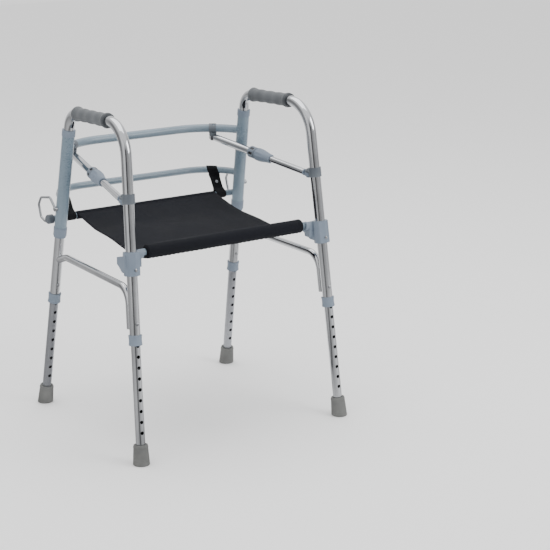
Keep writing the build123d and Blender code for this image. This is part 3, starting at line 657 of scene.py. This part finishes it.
def stitches(name, centres, runs, ups, length=0.0036, radius=0.00042):
    """Row of sewn stitches: each is a small capsule lying along its run, half sunk in the cloth."""
    sides, rings = 6, 5
    angle = np.linspace(0, 2 * np.pi, sides, endpoint=False)
    lift = np.linspace(-1, 1, rings)
    size = radius * np.sqrt(1 - 0.85 * lift**2)
    across = np.cross(ups, runs)
    local = (lift[:, None, None, None] * (length / 2) * runs
             + size[:, None, None, None] * (np.cos(angle)[:, None, None] * across + np.sin(angle)[:, None, None] * ups))
    points = (centres + local).transpose(2, 0, 1, 3)
    count = len(centres)
    base = (np.arange(count) * sides * rings)[:, None, None, None]
    r, c = np.meshgrid(np.arange(rings - 1), np.arange(sides), indexing="ij")
    ring_faces = np.stack([r * sides + c, (r + 1) * sides + c, (r + 1) * sides + (c + 1) % sides,
                           r * sides + (c + 1) % sides], -1)
    faces = (base + ring_faces).reshape(-1, 4).tolist()
    for start in base.ravel():
        faces.append([int(start) + k for k in range(sides)])
        faces.append([int(start) + (rings - 1) * sides + k for k in reversed(range(sides))])
    mesh = bpy.data.meshes.new(name)
    mesh.from_pydata(points.reshape(-1, 3), [], faces)
    mesh.polygons.foreach_set("use_smooth", np.ones(len(mesh.polygons), dtype=bool))
    mesh.materials.append(thread)
    row = bpy.data.objects.new(name, mesh)
    bpy.context.scene.collection.objects.link(row)
    return row


def stitch_line(u_at, v_at, count):
    """Centres, directions and outward normals of stitches along a line of the sheet."""
    share = np.linspace(0.03, 0.97, count + 1)
    column = (np.broadcast_to(u_at, share.shape) if np.ndim(u_at) == 0 else np.interp(share, [0, 1], u_at))
    row = (np.broadcast_to(v_at, share.shape) if np.ndim(v_at) == 0 else np.interp(share, [0, 1], v_at))
    i = np.clip(np.round(row * (rows - 1)).astype(int), 1, rows - 2)
    j = np.clip(np.round((column + 1) / 2 * (columns - 1)).astype(int), 1, columns - 2)
    fine_row = np.clip(row * (rows - 1) - i, -1, 1)[:, None]
    fine_column = np.clip((column + 1) / 2 * (columns - 1) - j, -1, 1)[:, None]
    down = (flat_sheet[i + 1, j] - flat_sheet[i - 1, j]) / 2
    aside = (flat_sheet[i, j + 1] - flat_sheet[i, j - 1]) / 2
    points = flat_sheet[i, j] + down * fine_row + aside * fine_column
    ups = unit(np.cross(aside, down))
    runs = unit(points[1:] - points[:-1])
    return (points[1:] + points[:-1]) / 2 + 0.0001 * ups[1:], runs, ups[1:]


seam_lines = []
for line_u, line_v, count in (((-1, 1), 0.055, 84), ((-1, 1), 0.068, 84), ((-1, 1), 0.945, 78),
                              (-0.95, (0.05, 0.95), 66), (0.95, (0.05, 0.95), 66)):
    seam_lines.append(stitch_line(line_u, line_v, count))
centres, runs, ups = (np.concatenate([line[part] for line in seam_lines]) for part in range(3))
seams = stitches("seat_stitching", centres, runs, ups)
bridge(seams)


# ---- Seat straps ----
# At each side a strap of black webbing is looped round the lower bar and the rear rod. The
# two layers between the loops are held together by a rivet.

webbing = cloth_material(
    "black_webbing", (0.002, 0.0022, 0.003), (0.009, 0.0095, 0.012),
    {"Threads": 560.0, "Cloud Scale": 30.0, "Depth": 0.0004}, Specular_IOR_Level=0.15, Sheen_Weight=0.02)

strap_middle = (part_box("strap_rivets")[1][0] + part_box("strap_rivets")[0][0] * -1) / 2 - 0.0045
strap_width = 0.028
strap_thickness = 0.0022
bar_height = 0.550
bar_radius = 0.0088
bar_bow = 0.0975
bar_run = 0.104
rod_radius = 0.008
strap_play = 0.0003


def lower_bar(x):
    """Point and slope of the lower bar's axis at X: it leaves the sleeve on a round arc."""
    end = on_leg("rear", "right", bar_height)
    bend = bar_run / math.sin(2 * math.atan2(bar_bow, bar_run))
    offset = x - (end[0] - bar_run)
    drop = math.sqrt(bend**2 - offset**2)
    return np.array([x, end[1] + bar_bow - bend + drop, bar_height]), -offset / drop


def strap_path(length, low_radius, high_radius):
    """Closed middle line of the webbing, as (distance up, distance out): round the rod, along a
    tangent to the pinch, up beside the other layer, round the bar and back the same way."""
    gap = strap_thickness / 2 + 0.0001
    half = []
    for radius, pinch, centre, way in ((low_radius, 0.017, 0.0, 1), (high_radius, 0.019, length, -1)):
        touch = math.atan2(gap, pinch) + math.acos(radius / math.hypot(pinch, gap))
        turn = np.linspace(np.pi, touch, 26)
        arc = np.stack([centre + way * radius * np.cos(turn), radius * np.sin(turn)], -1)
        arc = np.vstack([arc, [centre + way * pinch, gap]])
        half.append(arc if way > 0 else arc[::-1])
    side = np.vstack(half)
    loop = np.vstack([side, (side * [1, -1])[::-1][1:-1]])
    ring = np.vstack([loop, loop[:1]])
    run = np.concatenate([[0], np.cumsum(np.linalg.norm(np.diff(ring, axis=0), axis=1))])
    even = np.linspace(0, run[-1], 241)[:-1]
    smooth = np.stack([np.interp(even, run, ring[:, k]) for k in (0, 1)], -1)
    for _ in range(4):
        smooth = (np.roll(smooth, 1, 0) + 2 * smooth + np.roll(smooth, -1, 0)) / 4
    return smooth, run[-1]


for side, sign in SIDES.items():
    bar, slope = lower_bar(strap_middle)
    rod_point = np.array([strap_middle, rear_rod[1], rear_rod[2]])
    length = float(np.linalg.norm(bar - rod_point))
    upward = (bar - rod_point) / length
    path, loop_length = strap_path(length, rod_radius + strap_play + strap_thickness / 2,
                                   bar_radius + strap_play + strap_thickness / 2)
    turn = math.atan(slope) * smooth_step(path[:, 0] / length, 0.62, 0.92)
    wide = np.stack([np.cos(turn), np.sin(turn), 0 * turn], -1)
    outward = unit(np.cross(wide, upward))
    tangent = unit(np.roll(path, -1, 0) - np.roll(path, 1, 0))
    normal = np.stack([-tangent[:, 1], tangent[:, 0]], -1)
    rim = np.linspace(0, 2 * np.pi, 28, endpoint=False)
    w = strap_width / 2 * np.sign(np.cos(rim)) * np.abs(np.cos(rim)) ** 0.28
    t = strap_thickness / 2 * np.sign(np.sin(rim)) * np.abs(np.sin(rim)) ** 0.45
    up_part = path[:, None, 0] + t * normal[:, None, 0]
    out_part = path[:, None, 1] + t * normal[:, None, 1]
    points = (rod_point + up_part[..., None] * upward + out_part[..., None] * outward[:, None]
              + w[None, :, None] * wide[:, None])
    if sign < 0:
        points = points[:, ::-1] * [-1, 1, 1]
    uv_run, uv_wide = np.meshgrid(np.linspace(0, loop_length, len(path) + 1), np.append(w, w[0]), indexing="ij")
    strap = skin(f"strap_{side}", points, webbing, "back_frame", looped=True,
                 uv=np.stack([uv_wide, uv_run], -1))
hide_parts("seat_straps")


# ---- Studio ----
# A pale floor, a broad soft key from the front left, a weaker fill, a light overhead, and
# a pale sky with two darker quarters that give bright tube its streaks. In reflections the floor
# shows the same painted light and shade by bearing.

floor_points = np.array([[[x, y, -0.0003] for x in (-9, 9)] for y in (-9, 9)], dtype=float)
floor_mesh = bpy.data.meshes.new("floor")
floor_mesh.from_pydata(floor_points.reshape(-1, 3), [], [[0, 1, 3, 2]])
floor = bpy.data.objects.new("floor", floor_mesh)
bpy.context.scene.collection.objects.link(floor)
def studio_flags():
    """Group that gives the studio's brightness by compass bearing: pale behind the object, mid grey
    to the left, brighter to the right, and a black flag beside the camera."""
    group, given, out = effect("studio_flags", [("Direction", "Vector", (0, 0, 0))], [("Brightness", "Color")])
    parts = node(group, "SeparateXYZ", {0: given["Direction"]})
    bearing = node(group, "Math", {0: parts.outputs["Y"], 1: parts.outputs["X"]}, operation="ARCTAN2")
    share = node(group, "MapRange", {"Value": bearing.outputs[0], "From Min": -math.pi, "From Max": math.pi})
    ramp = node(group, "ValToRGB", {0: share.outputs[0]})
    stops = [(-180, 0.34), (-160, 0.40), (-141, 0.26), (-132, 0.05), (-122, 0.05), (-112, 0.27), (-80, 0.42),
             (-40, 0.58), (-12, 0.34), (12, 0.85), (60, 1.0), (105, 0.7), (130, 0.2), (160, 0.3), (180, 0.34)]
    for number, (degrees, grey) in enumerate(stops):
        if number < 2:
            stop = ramp.color_ramp.elements[number]
        else:
            stop = ramp.color_ramp.elements.new(1.0)
        stop.position = (degrees + 180) / 360
        stop.color = (grey, grey, grey, 1)
    group.links.new(ramp.outputs["Color"], out["Brightness"])
    return group


flags = studio_flags()
floor_material = bpy.data.materials.new("pale_floor")
floor_material.use_nodes = True
floor_tree = floor_material.node_tree
floor_shader = floor_tree.nodes["Principled BSDF"]
floor_shader.inputs["Roughness"].default_value = 0.9
# Seen in reflections the floor's colour is the studio's brightness by bearing, black flag included: painted light and
# shade. Other rays see it evenly pale.
floor_painted_studio_light = node(floor_tree, "Group", node_tree=flags)
floor_tree.links.new(node(floor_tree, "TexCoord").outputs["Object"], floor_painted_studio_light.inputs["Direction"])
floor_ray = node(floor_tree, "LightPath")
floor_colour_and_painted_light = node(floor_tree, "MixRGB", {"Fac": floor_ray.outputs["Is Glossy Ray"], "Color1": (0.95, 0.95, 0.95, 1),
                                           "Color2": floor_painted_studio_light.outputs["Brightness"]})
floor_tree.links.new(floor_colour_and_painted_light.outputs[0], floor_shader.inputs["Base Color"])
floor_mesh.materials.append(floor_material)

world = bpy.data.worlds.new("studio")
bpy.context.scene.world = world
world.use_nodes = True
sky = world.node_tree
background = sky.nodes["Background"]
look = node(sky, "TexCoord").outputs["Generated"]
sky_flags = node(sky, "Group", node_tree=flags)
sky.links.new(look, sky_flags.inputs["Direction"])
height = node(sky, "SeparateXYZ", {0: look}).outputs["Z"]
overhead = node(sky, "MapRange", {"Value": height, "From Min": 0.35, "From Max": 0.75})
lit = node(sky, "MixRGB", {"Fac": overhead.outputs[0], "Color1": sky_flags.outputs["Brightness"],
                           "Color2": (1, 1, 1, 1)})
seen = node(sky, "LightPath")
sky_colour = node(sky, "MixRGB", {"Fac": seen.outputs["Is Glossy Ray"], "Color1": (1, 1, 1, 1),
                                  "Color2": lit.outputs[0]})
sky.links.new(sky_colour.outputs[0], background.inputs["Color"])
background.inputs["Strength"].default_value = 1.25

for name, place, aim, size, power in (("key", (1.9, -2.9, 2.4), (0, 0, 0.4), 2.0, 58),
                                      ("fill", (-3.0, -1.0, 1.4), (0, 0, 0.4), 2.6, 12),
                                      ("top", (0.2, 0.6, 3.4), (0, 0, 0.3), 3.0, 60)):
    lamp = bpy.data.lights.new(name, "AREA")
    lamp.size = size
    lamp.energy = power
    light = bpy.data.objects.new(name, lamp)
    bpy.context.scene.collection.objects.link(light)
    way = np.array(aim) - np.array(place)
    light.location = place
    light.rotation_euler = (math.acos(-way[2] / np.linalg.norm(way)), 0, math.atan2(way[1], way[0]) - math.pi / 2)

camera_data = bpy.data.cameras.new("camera")
camera_data.lens = 104.6
camera_data.sensor_width = 36.0
camera = bpy.data.objects.new("camera", camera_data)
camera.location = (-1.980, -3.250, 1.413)
camera.rotation_euler = (math.radians(74.36), 0, math.radians(-34.62))
bpy.context.scene.collection.objects.link(camera)
bpy.context.scene.camera = camera
